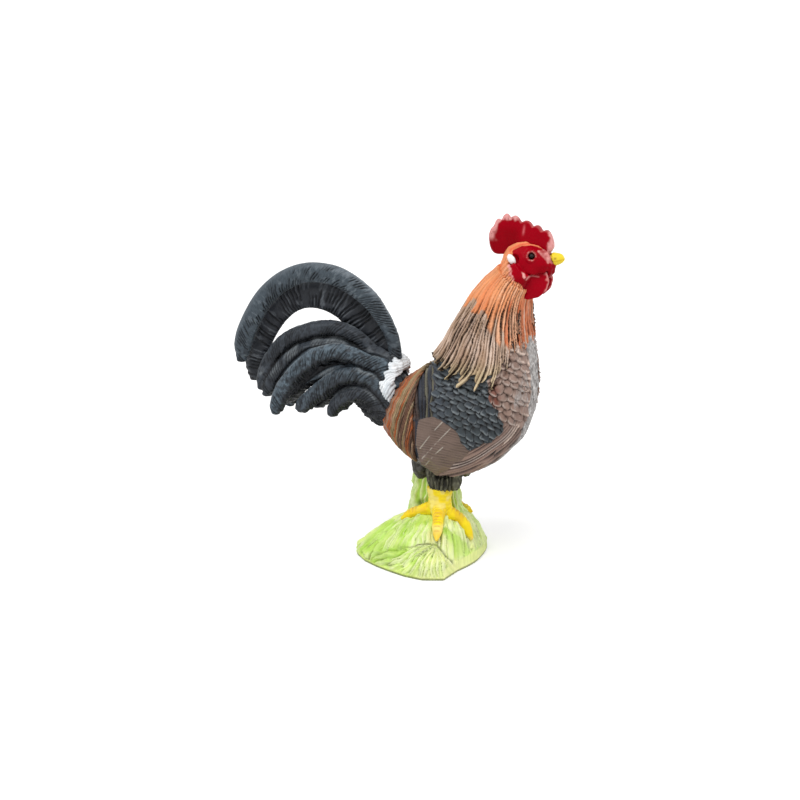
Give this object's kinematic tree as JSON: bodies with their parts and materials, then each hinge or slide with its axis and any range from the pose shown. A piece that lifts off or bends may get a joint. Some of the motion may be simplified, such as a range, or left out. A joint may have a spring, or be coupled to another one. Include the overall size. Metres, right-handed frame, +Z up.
{
  "type": "rooster figurine",
  "caption": "Solid moulded rooster standing on a mound of grass, with arched tail plumes, feather capes, comb and wattles.",
  "frame": {"origin": "on the flat underside of the grass base, in the bird's middle plane, under the legs' rear edge", "axes": "+Z up, +X the way the bird faces, +Y towards the bird's left"},
  "size_m": [0.0667, 0.0299, 0.0683],
  "materials": {
    "body_feathers": "satin, hand-painted grey-brown feathers",
    "hackle_feathers": "satin, hand-painted orange to buff strands",
    "saddle_feathers": "satin, hand-painted red-brown stripes",
    "wing_feathers": "satin, hand-painted brown and slate scales",
    "tail_feathers": "satin slate, pale dry-brushed edges",
    "white_down": "satin white",
    "red_skin": "glossy crimson",
    "ear_lobe_skin": "glossy white",
    "eye_black": "glossy black",
    "beak_horn": "satin yellow",
    "leg_skin": "satin yellow with orange wash",
    "grass": "satin lime green with darker wash"
  },
  "bodies": {
    "root": {"torso": "body_feathers", "thigh_right": "body_feathers", "thigh_left": "body_feathers", "neck_hackle": "hackle_feathers", "saddle_hackle": "saddle_feathers", "wing_right": "wing_feathers", "wing_left": "wing_feathers", "tail_fan": "tail_feathers", "sickle_right": "tail_feathers", "sickle_left": "tail_feathers", "tail_tuft": "white_down", "head": "red_skin", "comb": "red_skin", "wattle_right": "red_skin", "wattle_left": "red_skin", "ear_lobe_right": "ear_lobe_skin", "ear_lobe_left": "ear_lobe_skin", "eye_right": "eye_black", "eye_left": "eye_black", "beak": "beak_horn", "foot_right": "leg_skin", "foot_left": "leg_skin", "grass_base": "grass"}
  },
  "joints": []
}
